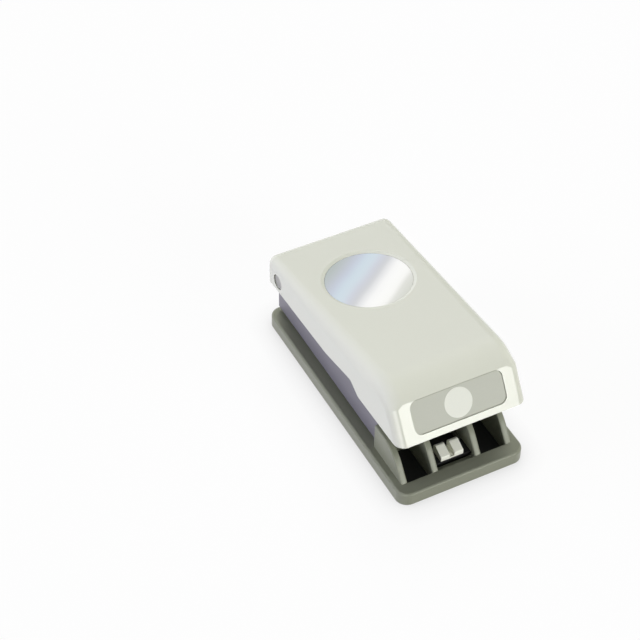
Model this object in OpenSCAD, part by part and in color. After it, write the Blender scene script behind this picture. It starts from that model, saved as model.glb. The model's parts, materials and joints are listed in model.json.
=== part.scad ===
// Lever-action circle punch for paper and card.
// The lever is hinged at the paper end and drives a round cutter through a die plate.
// Four springs lift it again, and a sliding lock in the base can hold it shut.
// Units are mm. Z is up, the pressing end faces -Y, the origin is under the middle of the base.
// The model stands as photographed: lever up and lock open.

/* [Cut] */
// Diameter of the circle that is cut
cut_d = 57; // [50:0.5:62]
// Distance from the back edge of the base to the middle of the cut
cut_back = 51; // [48:1:54]
// Clearance of the cutter in its guide and its die, on the radius
cut_fit = 0.08; // [0.05:0.01:0.1]
// Height of the paper throat
throat_gap = 2.5; // [2:0.1:4]
// Reach of the throat beyond the cut
throat_depth = 39.2; // [34:0.2:42]

/* [Base] */
// Length of the base
base_l = 162; // [158:1:180]
// Width of the flange beside the outer ribs
flange_w = 6.5; // [5:0.25:8]
// Height of the base's flange
base_h = 8; // [7:0.5:11]
// Radius of the base's corners
base_r = 7; // [5:0.5:10]
// Radius of the rounded edge along the top of the flange
rim_r = 1.5; // [1:0.25:3]
// Width of the rim around the bottom plate
rim_w = 2.4; // [2:0.2:3.5]
// Thickness of the bottom plate
bottom_t = 2; // [1.6:0.2:2.4]
// Thickness of the deck above its hollows
deck_t = 2.6; // [2:0.2:3]

/* [Bays] */
// Depth of the ledge in front of the ribs
ledge = 8.5; // [7:0.5:10]
// Distance of the inner ribs from the mid-plane
rib_x = 13.4; // [12:0.2:16]
// Thickness of the ribs
rib_t = 3.8; // [2.4:0.2:4.4]
// How far the outer ribs stand out from the frame
rib_proud = 2; // [1:0.1:2.5]
// Height of the ribs above the flange
rib_h = 17; // [12:1:18]
// Slope of the ribs' front edges, in degrees
rib_slope = 53; // [45:1:60]
// Radius of the ribs' rounded shoulders
rib_r = 20; // [4:1:22]

/* [Die] */
// Thickness of the die plate
die_t = 4; // [3:0.5:4.5]
// Width of the die plate beside the cut
die_margin = 2.5; // [2:0.25:3]
// Length of the die plate before and behind the cut
die_reach = 4.5; // [4:0.5:6]

/* [Frame] */
// Thickness of the frame's side walls
frame_wall = 2.5; // [2:0.25:3]
// Room beside the cut inside the frame
cut_margin = 1.5; // [1:0.25:2.5]
// Thickness of the frame's floor, which guides the cutter
guide_t = 5; // [4:0.5:6]
// Height of the frame's side walls
frame_h = 22.5; // [18:0.5:24]
// Height of the hinge axis above the frame's underside
pivot_h = 32.6; // [32:0.2:34]
// Distance of the hinge axis from the back edge of the base
pivot_back = 14.8; // [14:0.2:16]
// Radius of the lugs around the hinge pin
lug_r = 6.5; // [5.5:0.25:7]
// Diameter of the hinge pin
pin_d = 6; // [5:0.25:6.5]

/* [Carrier] */
// Depth of the cutting edge inside the frame's floor at rest
edge_inset = 1.9; // [1:0.1:2.5]
// Height of the cutter
cutter_h = 8.6; // [8:0.2:10]
// Height of the carrier's hub above the cutter
hub_h = 10; // [9:0.5:10.5]
// Thickness of the carrier plate
carrier_t = 4; // [3.5:0.25:4.25]
// Height of the pressed boss on the carrier
boss_h = 1.5; // [1:0.25:1.75]
// Diameter of the guide posts
post_d = 4; // [3.5:0.25:4.5]
// Wire diameter of the return springs
wire_d = 0.9; // [0.7:0.05:1]
// Turns of the return springs
spring_turns = 6; // [5:0.5:6.5]

/* [Lever] */
// Tilt of the lever at rest, in degrees
open_angle = 7; // [6:0.25:8]
// Angle through which the lever is pressed
press_angle = 12; // [10:0.25:12.5]
// Gap between the frame and the inside of the lever
lever_gap = 4.7; // [3:0.1:6]
// Wall of the lever cover
lever_wall = 2.4; // [2:0.1:3]
// Height of the lever's top above the hinge axis
lever_top = 11.1; // [11:0.1:13]
// Distance of the lever's back from the hinge axis, upright at rest
lever_back = 14.6; // [14:0.1:16]
// Distance of the lever's lip from the front of the base
lip_setback = 6.1; // [5.5:0.1:7.5]
// Depth of the lip below the hinge axis
lip_drop = 18.9; // [18:0.1:20]
// Lean of the lever's sloped front, in degrees
face_lean = 25; // [22:1:28]
// Radius of the lever's nose, which ends in a soft crease above the label
nose_r = 24; // [20:0.5:28]
// Radius of the lever's long edges
side_r = 9; // [7:0.5:10]
// Radius of the sloped front's side edges
corner_r = 6; // [4:0.25:7]
// Radius of the lever's back corners
back_r = 5.5; // [4:0.5:7]

/* [Insets] */
// Diameter of the mirrored disc
mirror_d = 49.5; // [46:0.5:54]
// Distance of the disc's middle from the hinge axis
mirror_f = 36.5; // [33:0.25:45]
// Depth of the disc's recess
mirror_deep = 1.5; // [1:0.1:1.6]
// Width of the dished edge round the mirrored disc
mirror_rim = 1.8; // [1:0.1:2.4]
// Width of the label's recess
label_w = 56.5; // [46:0.5:58]
// Height of the label's recess
label_h = 19.5; // [16:0.5:20]
// Corner radius of the label's recess
label_r = 4.5; // [3:0.25:6]
// Distance of the label's middle from the lip, up the slope
label_up = 13.6; // [13:0.1:14.4]
// Depth of the label's recess
label_deep = 1.2; // [0.8:0.1:1.4]
// Diameter of the round spot on the label
spot_d = 16.8; // [12:0.2:17]

/* [Lock] */
// Length of each lobe of the lock slider
lobe_l = 9; // [7:0.5:10]
// Width of each lobe
lobe_w = 5.5; // [5:0.25:7]
// Height of the lobes at their back end
lobe_h = 7; // [4:0.2:8]
// Height of the lobes at their front end
lobe_front = 3; // [1:0.2:3.6]
// Gap between the lobes
lobe_gap = 3; // [1.5:0.1:4]
// Width of the lever's hook
hook_w = 12; // [8:0.5:14]
// Travel of the lock slider
lock_travel = 5; // [4:0.25:5]

/* [Hidden] */
$fn = 48;
// Overlap that keeps cuts clear of shared faces
cut_over = 1;
// Play between fixed pieces that fit into each other
play = 0.2;
// Gap between pieces that move past each other
run_gap = 0.3;

// Widths, from the cut outwards, as half widths
frame_in = cut_d / 2 + cut_margin;
frame_out = frame_in + frame_wall;
lever_in = frame_out + lever_gap;
lever_out = lever_in + lever_wall;
base_out = frame_out + flange_w;
die_x = cut_d / 2 + die_margin;
rib_in = rib_x - rib_t / 2;
rib_out = rib_x + rib_t / 2;
bay_out = frame_out + rib_proud - rib_t;

// Frame's foot and tongue in front of the throat, and the tongue's height
foot_l = 3;
tongue_l = 8;
tongue_h = 12;
// Lengths of the lock: tongue to hook, hook's toe, toe to lobes, slider's front lip and its end gap
hook_gap = 3.5;
toe_l = 3.5;
lobe_back = 4.5;
slide_lip = 1.5;
end_gap = 0.8;
lock_need = hook_gap + toe_l + lobe_back + lobe_l + slide_lip + end_gap;
// Screws of the frame: radius, reach into the tongue, depth of their heads, distance from the wall
frame_screw_r = 2;
frame_screw_l = 9;
head_deep = 3;
frame_screw_in = 8;
// Screws of the arm: radius, length and radius of their bosses
arm_screw_r = 1.45;
arm_screw_l = 6;
arm_boss_r = 3.6;
// Walls of the hinge's spacers and washers, and their play along the pin
spacer_w = 1.8;
washer_w = 2.6;
side_play = 0.1;
// Step of the lever's skirt behind the throat's end
step_back = 12.5;

// Places along the base
front_y = -base_l / 2;
back_y = base_l / 2;
cut_y = back_y - cut_back;
bay_y = front_y + ledge;
// The throat reaches as far as asked, but no further than the lock's room in the bay
throat_y = max(cut_y - cut_d / 2 - throat_depth, bay_y + lock_need + tongue_l);
frame_front = throat_y - foot_l;
tongue_y = throat_y - tongue_l;
frame_back = back_y - 2;
pivot_y = back_y - pivot_back;
die_y = cut_d / 2 + die_reach;

// Heights
frame_z = base_h + throat_gap;
guide_z = frame_z + guide_t;
frame_top = frame_z + frame_h;
pivot_z = frame_z + pivot_h;
edge_z = frame_z + edge_inset;
cutter_top = edge_z + cutter_h;
carrier_z = cutter_top + hub_h;
carrier_top = carrier_z + carrier_t;
boss_top = carrier_top + boss_h;
tongue_top = base_h + tongue_h;
skirt_back = 6.4;
rear_top = pivot_z - lever_back * sin(open_angle) - skirt_back * cos(open_angle) - 0.4;

// Posts and springs
post_off = cut_d / 2 - 3.3;
post_r = post_d / 2;
coil_r = post_r + wire_d / 2 + 0.55;
clip_z = carrier_top + play;
post_top = clip_z + 3.3;
post_base = frame_z + 0.5;

// Lever, in its own frame: hinge axis at the origin, forwards along -Y, top level
lever_reach = base_l - pivot_back - lip_setback;
nose_z = lever_top - nose_r;
// The nose meets the sloped front in a crease, this far up the slope from the lip
crease = label_up + label_h / 2 - 0.1;
crease_z = crease * cos(face_lean) - lip_drop;
nose_f = lever_reach - crease * sin(face_lean) - sqrt(nose_r * nose_r - (crease_z - nose_z) * (crease_z - nose_z));
skirt_extra = 4;
// Thicknesses of the mirrored disc and the label's plate
mirror_t = 0.7;
label_t = 0.5;
function back_at(z) = (lever_back - back_r - z * sin(open_angle)) / cos(open_angle);
skirt_f = lever_reach + skirt_extra * tan(face_lean);
arm_w = 20;
arm_t = 2;
web_z = lever_top - lever_wall - 6.8;
web_top = web_z + arm_t;
arm_f = lever_reach - 16;
step_f = pivot_y - throat_y - step_back;
screw_x = 10;
screw_back = 15;
screw_front = 20;
screw_f = [screw_back, arm_f - screw_front];
arm_eye_r = 6;
arm_drop = 5;
arm_bend = 62;

// Presser pad, from the place where it meets the carrier's boss at rest
pad_r = 6;
pad_dy = pivot_y - cut_y;
pad_dz = boss_top + run_gap + pad_r - pivot_z;
pad_f = pad_dy * cos(open_angle) + pad_dz * sin(open_angle);
pad_z = pad_dz * cos(open_angle) - pad_dy * sin(open_angle);
pad_x = 10;
pad_stud_x = 6;
pad_stud_r = 2;

// Lock, drawn with the lever shut
hook_y = tongue_y - hook_gap;
toe_front = hook_y - toe_l;
toe_z = bottom_t + 0.7;
toe_top = toe_z + 2.2;
slide_z = toe_top + 0.45;
slide_t = 2;
slide_top = slide_z + slide_t;
groove = 1.2;
slide_back = toe_front - lobe_back;
slide_front = slide_back - lobe_l - slide_lip;
lobe_y = slide_front + 0.5;
nib_back = toe_front - 2.4;

// Hinge stack
ear_x = arm_w;
cap_r = 4.7;
cap_out = lever_out - 0.65;
cap_in = lever_in + 0.65;
pin_end = cap_in - play;

// Corner points of the bottom plate's screws
bottom_x = (frame_in + frame_out) / 2;
bottom_ys = [front_y + 6.4, back_y - 6.4];

// Points of an outline whose corners [x, y, radius] are rounded by arcs
function unit(v) = v / norm(v);
function arc_steps(turn) = max(2, ceil(abs(turn) / 9));
function corner_arc(a, p, b, r) =
    let (u = unit([a[0] - p[0], a[1] - p[1]]),
         v = unit([b[0] - p[0], b[1] - p[1]]),
         half = acos(max(-1, min(1, u * v))) / 2,
         c = [p[0], p[1]] + unit(u + v) * r / sin(half),
         s = [p[0], p[1]] + u * r / tan(half) - c,
         side = sign(u[0] * v[1] - u[1] * v[0]),
         turn = side * (2 * half - 180),
         n = arc_steps(turn))
    [for (i = [0:n]) let (t = turn * i / n)
        c + [s[0] * cos(t) - s[1] * sin(t), s[0] * sin(t) + s[1] * cos(t)]];
function rounded(pts) =
    [for (i = [0:len(pts) - 1])
        let (n = len(pts), a = pts[(i + n - 1) % n], p = pts[i], b = pts[(i + 1) % n])
        each (p[2] > 0 ? corner_arc(a, p, b, p[2]) : [[p[0], p[1]]])];

// Rectangle with round corners, exact
module round_rect(w, l, r) {
    square([w - 2 * r, l], center = true);
    square([w, l - 2 * r], center = true);
    for (x = [-1, 1], y = [-1, 1]) {
        translate([x * (w / 2 - r), y * (l / 2 - r)]) circle(r);
    }
}

// Extrudes an outline drawn in Y and Z across X
module across(x0, x1) {
    translate([x0, 0, 0]) rotate([90, 0, 90]) linear_extrude(x1 - x0) children();
}

// A block between two corners
module block(a, b) {
    translate(a) cube(b - a);
}

// A rod along X
module rod(x0, x1, r) {
    translate([x0, 0, 0]) rotate([0, 90, 0]) cylinder(h = x1 - x0, r = r);
}

// Puts a piece drawn in the lever's frame into its place at rest
module at_rest() {
    translate([0, pivot_y, pivot_z]) rotate([-open_angle, 0, 0]) children();
}

// Puts a piece drawn with the lever shut into its place at rest
module from_shut() {
    translate([0, pivot_y, pivot_z]) rotate([-press_angle, 0, 0])
        translate([0, -pivot_y, -pivot_z]) children();
}

// Repeats a piece at the four posts
module at_posts() {
    for (x = [-1, 1], y = [-1, 1]) {
        translate([x * post_off, cut_y + y * post_off, 0]) children();
    }
}

// Repeats a piece at the four bottom screws
module at_bottom_screws() {
    for (x = [-1, 1], y = bottom_ys) translate([x * bottom_x, y, 0]) children();
}

// Repeats a piece at the four corners of the die plate
module at_die_screws() {
    for (x = [-1, 1], y = [-1, 1]) {
        translate([x * (die_x - 4), cut_y + y * (die_y - 4), 0]) children();
    }
}

// Repeats a piece at the three screws of the frame
module at_frame_screws() {
    for (x = [-1, 0, 1]) translate([x * (frame_in - frame_screw_in), throat_y - foot_l, 0]) children();
}

// Repeats a piece at the arm's screws, in the lever's frame
module at_arm_screws() {
    for (x = [-1, 1], f = screw_f) translate([x * screw_x, -f, 0]) children();
}

// Flat-head screw with its head's face at z = 0 and its shank upwards
module flat_screw(r, len) {
    difference() {
        union() {
            cylinder(h = r * 0.9, r1 = r * 1.9, r2 = r);
            cylinder(h = len, r = r);
        }
        for (a = [0, 90]) rotate([0, 0, a]) cube([r * 2, r * 0.45, r * 0.8], center = true);
    }
}

// Pan-head screw with its seat at z = 0 and its shank upwards
module pan_screw(r, len) {
    difference() {
        union() {
            translate([0, 0, -r * 1.2]) cylinder(h = r * 1.2, r = r * 1.75);
            cylinder(h = len, r = r);
        }
        for (a = [0, 90]) {
            translate([0, 0, -r * 1.2]) rotate([0, 0, a])
                cube([r * 2.2, r * 0.5, r * 1.2], center = true);
        }
    }
}

// Flange of the base with a rounded upper edge
module flange() {
    hull() {
        for (x = [-1, 1], y = [-1, 1]) {
            translate([x * (base_out - base_r), y * (base_l / 2 - base_r), 0]) {
                cylinder(h = base_h - rim_r, r = base_r, $fn = 32);
                translate([0, 0, base_h - rim_r]) rotate_extrude($fn = 32)
                    translate([base_r - rim_r, 0]) circle(rim_r, $fn = 24);
            }
        }
    }
}

// Outline of a rib in Y and Z, from its foot in the bay to the given back end
module rib_outline(y1) {
    slope_l = rib_h / tan(rib_slope);
    // The shoulder's arc ends before the rib does
    shoulder_r = min(rib_r, (y1 - bay_y - slope_l - play) / tan(rib_slope / 2));
    polygon(rounded([
        [bay_y - 2, bottom_t, 0],
        [y1, bottom_t, 0],
        [y1, base_h + rib_h, 0],
        [bay_y + slope_l, base_h + rib_h, shoulder_r],
        [bay_y, base_h, 0],
        [bay_y - 2, base_h - 1, 0],
    ]));
}

module base() {
    color("#6f7164")
    difference() {
        union() {
            difference() {
                flange();
                // Seat of the bottom plate
                translate([0, 0, -cut_over]) linear_extrude(bottom_t + cut_over)
                    round_rect(2 * (base_out - rim_w), base_l - 2 * rim_w, base_r - rim_w);
                // Three bays
                block([-bay_out, bay_y, 0], [bay_out, tongue_y, base_h + cut_over]);
                // Hollows under the deck
                block([-frame_out, throat_y + 3, 0], [frame_out, cut_y - die_y - 3, base_h - deck_t]);
                block([-frame_in, cut_y + die_y + 3, 0], [frame_in, back_y - 9, base_h - deck_t]);
            }
            for (s = [0, 1]) mirror([s, 0, 0]) {
                across(bay_out, frame_out + rib_proud) rib_outline(frame_front - 0.1);
                across(rib_in, rib_out) rib_outline(tongue_y - 0.1);
            }
            // Bar in front of the lock slider
            block([-rib_x, bay_y - cut_over, bottom_t], [rib_x, slide_front - end_gap + 0.2, slide_z - 0.4]);
        }
        // Grooves for the lock slider
        for (s = [0, 1]) mirror([s, 0, 0]) {
            block([rib_in - cut_over, slide_front - 0.5, slide_z - 0.15],
                  [rib_in + groove, nib_back + lock_travel + 0.5, slide_top + 0.15]);
        }
        // Pocket of the die plate, and the hole under it
        translate([0, cut_y, base_h - die_t]) linear_extrude(die_t + cut_over)
            round_rect(2 * (die_x + play), 2 * (die_y + play), 3);
        translate([0, cut_y, 0]) cylinder(h = base_h, d = cut_d + 3, $fn = 96);
        at_die_screws() cylinder(h = base_h, r = 1.55);
        at_frame_screws() {
            cylinder(h = base_h + cut_over, r = frame_screw_r + play);
            cylinder(h = bottom_t + head_deep, r = 1.95 * frame_screw_r);
        }
        at_bottom_screws() cylinder(h = base_h - 1.5, r = 1.5);
    }
}

module bottom_plate() {
    color("#2c2d2b")
    difference() {
        linear_extrude(bottom_t)
            round_rect(2 * (base_out - rim_w - play), base_l - 2 * (rim_w + play), base_r - rim_w - play);
        translate([0, cut_y, -cut_over]) cylinder(h = bottom_t + 2 * cut_over, d = cut_d + 5, $fn = 96);
        at_bottom_screws() {
            translate([0, 0, -0.01]) cylinder(h = bottom_t + cut_over, r = 1.55);
            translate([0, 0, -0.2]) cylinder(h = 1.8, r1 = 3.1, r2 = 1.5);
        }
    }
}

module bottom_screws() {
    color("#b9bcc0")
    at_bottom_screws() translate([0, 0, 0.1]) flat_screw(1.45, base_h - 2);
}

module die_plate() {
    color("#a9adb2")
    translate([0, cut_y, base_h - die_t]) difference() {
        linear_extrude(die_t) round_rect(2 * die_x, 2 * die_y, 3);
        translate([0, 0, -cut_over]) cylinder(h = die_t + 2 * cut_over, r = cut_d / 2 + cut_fit, $fn = 96);
        translate([0, -cut_y, die_t]) at_die_screws() {
            translate([0, 0, -die_t - cut_over]) cylinder(h = die_t + 2 * cut_over, r = 1.55);
            translate([0, 0, -1.6]) cylinder(h = 1.8, r1 = 1.5, r2 = 3.1);
        }
    }
}

module die_screws() {
    color("#b9bcc0")
    at_die_screws() translate([0, 0, base_h - 0.1]) mirror([0, 0, 1])
        flat_screw(1.45, base_h - bottom_t - 0.4);
}

// Outline of the frame's side wall in Y and Z
module frame_side() {
    polygon(rounded([
        [frame_front, frame_z, 0],
        [frame_back, frame_z, 0],
        [frame_back, rear_top - 3, 3],
        [pivot_y - lug_r - 3, rear_top - 3, 0],
        [pivot_y - lug_r - 6, frame_top, 4],
        [frame_front + 5, frame_top, 4],
        [frame_front, frame_top - 5, 2],
    ]));
    translate([pivot_y - lug_r, frame_z]) square([2 * lug_r, pivot_z - frame_z]);
    translate([pivot_y, pivot_z]) circle(lug_r);
}

module frame() {
    color("#737682")
    difference() {
        union() {
            for (s = [0, 1]) mirror([s, 0, 0]) across(frame_in, frame_out) frame_side();
            // Floor with a lead-in for the paper at the back
            across(-frame_out, frame_out) polygon([
                [frame_front, frame_z], [frame_back - 1.5, frame_z], [frame_back, frame_z + 1.5],
                [frame_back, guide_z], [frame_front, guide_z]]);
            // Wall at the back, which the lever's back edge meets when it is lifted too far
            block([-frame_out, frame_back - 2.5, frame_z + 2], [frame_out, frame_back, rear_top]);
            // Foot in front of the throat
            block([-frame_out, frame_front, base_h], [frame_out, throat_y, guide_z]);
            block([-frame_in + 0.3, tongue_y, base_h], [frame_in - 0.3, throat_y, tongue_top]);
        }
        translate([0, cut_y, frame_z - cut_over])
            cylinder(h = guide_t + 2 * cut_over, r = cut_d / 2 + cut_fit, $fn = 96);
        at_posts() translate([0, 0, post_base - 0.1]) cylinder(h = guide_t + cut_over, r = post_r + 0.02);
        at_frame_screws() translate([0, 0, base_h - cut_over]) cylinder(h = frame_screw_l + 2, r = frame_screw_r + 0.05);
        translate([0, pivot_y, pivot_z]) rod(-frame_out - cut_over, frame_out + cut_over, pin_d / 2 + 0.03);
    }
}

module frame_screws() {
    color("#b9bcc0")
    at_frame_screws() translate([0, 0, bottom_t + head_deep])
        pan_screw(frame_screw_r, base_h + frame_screw_l - bottom_t - head_deep);
}

module guide_posts() {
    color("#c3c6ca")
    at_posts() difference() {
        translate([0, 0, post_base]) cylinder(h = post_top - post_base, r = post_r);
        // Groove of the clip
        translate([0, 0, clip_z - 0.05]) difference() {
            cylinder(h = 1.1, r = post_r + cut_over);
            translate([0, 0, -cut_over]) cylinder(h = 3.1, r = post_r - 0.4);
        }
    }
}

module post_clips() {
    color("#8f9296")
    at_posts() translate([0, 0, clip_z]) difference() {
        cylinder(h = 1, r = post_r + 1.2);
        translate([0, 0, -cut_over]) cylinder(h = 3, r = post_r - 0.37);
    }
}

// One point on a spring's centre line, a at 0 at its foot and 360 a turn
spring_z0 = guide_z + wire_d / 2 + 0.05;
spring_z1 = carrier_z - wire_d / 2 - 0.1;
spring_end = 360 * spring_turns;
function coil(a) = [coil_r * cos(a), coil_r * sin(a), spring_z0 + (spring_z1 - spring_z0) * a / spring_end];
ring_step = 45;
ring_n = floor(spring_end / ring_step);
// Least gap between neighbouring turns, measured on points of the centre line
spring_gaps = [for (i = [0:ring_n], j = [i + 5:i + 11])
    if (j <= ring_n) norm(coil(i * ring_step) - coil(j * ring_step)) - wire_d];
echo(spring_self_gap = min(spring_gaps));

// A helical spring as one tube of six sides
module spring() {
    sides = 6;
    rise = (spring_z1 - spring_z0) / (spring_end * PI / 180);
    pts = [for (i = [0:ring_n]) let (a = i * ring_step, c = coil(a),
                out = [cos(a), sin(a), 0],
                along = unit([-coil_r * sin(a), coil_r * cos(a), rise]),
                up = cross(out, along) * -1)
        each [for (k = [0:sides - 1]) let (t = 360 * k / sides)
            c + wire_d / 2 * (cos(t) * out + sin(t) * up)]];
    last = ring_n * sides;
    faces = concat(
        [[for (k = [0:sides - 1]) k]],
        [for (i = [0:ring_n - 1], k = [0:sides - 1]) let (a = i * sides + k, b = i * sides + (k + 1) % sides)
            each [[a, a + sides, b + sides], [a, b + sides, b]]],
        [[for (k = [sides - 1:-1:0]) last + k]]);
    polyhedron(pts, faces);
}

module return_springs() {
    color("#9a9da1")
    at_posts() spring();
}

module hinge_pin() {
    color("#b9bcc0")
    translate([0, pivot_y, pivot_z]) rod(-pin_end, pin_end, pin_d / 2);
}

module hinge_spacers() {
    color("#d9d6c8")
    for (s = [0, 1]) mirror([s, 0, 0]) translate([0, pivot_y, pivot_z]) difference() {
        rod(ear_x + 1.5 * side_play, frame_in - side_play, pin_d / 2 + spacer_w);
        rod(ear_x, frame_in, pin_d / 2 + 0.04);
    }
}

module hinge_washers() {
    color("#d9d6c8")
    for (s = [0, 1]) mirror([s, 0, 0]) translate([0, pivot_y, pivot_z]) difference() {
        rod(frame_out + side_play, lever_in - 1.5 * side_play, pin_d / 2 + washer_w);
        rod(frame_out, lever_in, pin_d / 2 + 0.04);
    }
}

// Puts a piece drawn on the lever's sloped front, X across and Y up the slope from the lip, Z outwards
module on_slope() {
    translate([0, -lever_reach, -lip_drop]) rotate([90 - face_lean, 0, 0]) children();
}

// Solid block of the lever, shrunk by an inset
module lever_block(inset) {
    difference() {
        hull() {
            for (s = [-1, 1]) {
                translate([s * (lever_out - back_r), back_at(lever_top - back_r), lever_top - back_r])
                    sphere(back_r - inset, $fn = 32);
                translate([s * (lever_out - back_r), back_at(-lip_drop - skirt_extra), -lip_drop - skirt_extra])
                    cylinder(h = 0.1, r = back_r - inset, $fn = 32);
                translate([s * (lever_out - side_r), -nose_f, nose_z]) rotate([0, 90, 0])
                    rotate_extrude($fn = 96) intersection() {
                        translate([nose_r - side_r, 0]) circle(side_r - inset, $fn = 32);
                        translate([0, -nose_r]) square(2 * nose_r);
                    }
                on_slope() translate([s * (lever_out - corner_r), -1.5 * skirt_extra, -corner_r]) rotate([-90, 0, 0])
                    cylinder(h = crease - 1.5 + 1.5 * skirt_extra, r = corner_r - inset, $fn = 32);
            }
        }
        // The sloped front is flat
        on_slope() block([-lever_out, -20, -inset], [lever_out, crease + 20, 20]);
    }
}

// What lies below the lever's skirt, in Y and Z of the lever's frame
module below_skirt() {
    low = -lip_drop - 40;
    polygon(rounded([
        [-skirt_f - 20, low, 0],
        [-skirt_f - 20, -lip_drop, 0],
        [4 - lever_reach, -lip_drop, 20],
        [-step_f - 4, 3.8 - lip_drop, 4],
        [-step_f + 4, -9, 4],
        [-58, -11, 30],
        [0, -skirt_back - 0.4, 30],
        [lever_back, -skirt_back, 0],
        [lever_back + 20, -skirt_back, 0],
        [lever_back + 20, low, 0],
    ]));
}

// Puts a piece drawn about the label's middle on the lever's sloped front
module on_face() {
    on_slope() translate([0, label_up, 0]) children();
}

module lever_cover() {
    color("#dcdccf")
    at_rest() difference() {
        union() {
            difference() {
                lever_block(0);
                lever_block(lever_wall);
            }
            // Bosses of the arm's screws
            at_arm_screws() translate([0, 0, web_top]) cylinder(h = lever_top - web_top - 0.5, r = arm_boss_r);
        }
        across(-lever_out - cut_over, lever_out + cut_over) below_skirt();
        translate([0, -mirror_f, lever_top - mirror_deep]) {
            cylinder(h = 5, d = mirror_d + 0.6, $fn = 96);
            // The dished edge, drawn to twice its height so that it cuts through the top
            translate([0, 0, mirror_t]) cylinder(h = 2 * (mirror_deep - mirror_t), d1 = mirror_d + 0.6,
                                                 d2 = mirror_d + 0.6 + 4 * mirror_rim, $fn = 96);
        }
        on_face() translate([0, 0, -label_deep]) linear_extrude(6) round_rect(label_w, label_h, label_r);
        rod(-lever_out - cut_over, lever_out + cut_over, cap_r + 0.05);
        at_arm_screws() translate([0, 0, web_z]) cylinder(h = arm_screw_l + 0.5, r = arm_screw_r + 0.05);
    }
}

// Outline of the arm's flanges in Y and Z of the lever's frame
module arm_side() {
    polygon(rounded([
        [0, web_top, 0],
        [-arm_f, web_top, 0],
        [-arm_f, web_z - 3, 2],
        [-arm_bend, -arm_drop, 30],
        [0, -arm_drop, 0],
    ]));
    circle(arm_eye_r);
}

module lever_arm() {
    color("#a3a6aa")
    union() {
        at_rest() difference() {
            union() {
                for (s = [0, 1]) mirror([s, 0, 0]) across(arm_w - arm_t, arm_w) arm_side();
                block([-arm_w, -arm_f, web_z], [arm_w, -8, web_top]);
            }
            rod(-arm_w - cut_over, arm_w + cut_over, pin_d / 2 + 0.06);
            at_arm_screws() translate([0, 0, web_z - 1]) cylinder(h = arm_t + 2, r = arm_screw_r + 0.25);
            for (s = [-1, 1]) translate([s * pad_stud_x, -pad_f, web_z - 1])
                cylinder(h = arm_t + 2, r = pad_stud_r + 0.05);
        }
        // Hook for the lock
        from_shut() {
            web_shut = pivot_z + web_z * cos(press_angle - open_angle)
                - (pivot_y - hook_y) * tan(press_angle - open_angle);
            block([-hook_w / 2, hook_y, toe_z], [hook_w / 2, hook_y + 2, web_shut + 1]);
            block([-hook_w / 2, toe_front, toe_z], [hook_w / 2, hook_y + 1, toe_top]);
        }
    }
}

module arm_screws() {
    color("#b9bcc0")
    at_rest() at_arm_screws() translate([0, 0, web_z]) pan_screw(arm_screw_r, arm_screw_l);
}

module presser_pad() {
    color("#3a3b3d")
    at_rest() translate([0, -pad_f, 0]) {
        block([-pad_x, -pad_r, pad_z], [pad_x, pad_r, web_z]);
        translate([0, 0, pad_z]) rod(-pad_x, pad_x, pad_r);
        for (s = [-1, 1]) translate([s * pad_stud_x, 0, web_z - 1]) cylinder(h = arm_t + 1.6, r = pad_stud_r);
    }
}

module mirror_disc() {
    color("#d5e0ea")
    at_rest() translate([0, -mirror_f, lever_top - mirror_deep])
        cylinder(h = mirror_t, d = mirror_d, $fn = 96);
}

module label_plate() {
    color("#c1c3b8")
    at_rest() on_face() translate([0, 0, -label_deep]) linear_extrude(label_t)
        round_rect(label_w - 0.5, label_h - 0.5, label_r - 0.25);
}

module label_spot() {
    color("#e6e8e0")
    at_rest() on_face() translate([0, 0, label_t - label_deep]) cylinder(h = 0.2, d = spot_d);
}

module pin_caps() {
    color("#96968f")
    for (s = [0, 1]) mirror([s, 0, 0]) translate([0, pivot_y, pivot_z]) rod(cap_in, cap_out, cap_r);
}

// Places of the three screws that hold the cutter
module at_cutter_screws() {
    for (a = [90, 210, 330]) {
        translate([cut_d / 4 * cos(a), cut_y + cut_d / 4 * sin(a), 0]) children();
    }
}

module punch_carrier() {
    color("#33353a")
    difference() {
        union() {
            translate([0, cut_y, carrier_z]) linear_extrude(carrier_t)
                round_rect(2 * frame_in - 1.2, cut_d + 3, 4);
            translate([0, cut_y, cutter_top]) cylinder(h = hub_h + 1, d = cut_d - 9, $fn = 96);
            translate([0, cut_y, carrier_z + 1]) cylinder(h = boss_top - carrier_z - 1, r = 8);
        }
        at_posts() translate([0, 0, carrier_z - 1]) cylinder(h = carrier_t + 2, r = post_r + 0.15);
        at_cutter_screws() {
            translate([0, 0, cutter_top - 1]) cylinder(h = hub_h + 9, r = 2.1);
            translate([0, 0, carrier_top - 3]) cylinder(h = 5, r = 3.7);
        }
    }
}

module cutter() {
    color("#aeb2b7")
    difference() {
        translate([0, cut_y, edge_z]) cylinder(h = cutter_h, d = cut_d, $fn = 96);
        // Hollow of the cutting face
        hollow_r = cut_d / 2 - 2.5;
        hollow_d = 1.4;
        ball_r = (hollow_r * hollow_r + hollow_d * hollow_d) / (2 * hollow_d);
        translate([0, cut_y, edge_z + hollow_d - ball_r]) sphere(ball_r, $fn = 256);
        at_cutter_screws() translate([0, 0, cutter_top - 5.5]) cylinder(h = 7, r = 2.05);
    }
}

module cutter_screws() {
    color("#b9bcc0")
    at_cutter_screws() translate([0, 0, carrier_top - 3]) mirror([0, 0, 1])
        pan_screw(2, hub_h + carrier_t - 3 + 5);
}

module lock_slider() {
    color("#3b3c39")
    difference() {
        union() {
            block([-rib_in - groove + 0.15, slide_front, slide_z],
                  [rib_in + groove - 0.15, slide_back, slide_top]);
            block([-hook_w / 2 - 1, slide_back - 1, slide_z], [hook_w / 2 + 1, nib_back, slide_top]);
        }
        at_studs() cylinder(h = slide_t + cut_over, r = 1.05);
    }
}

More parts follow.
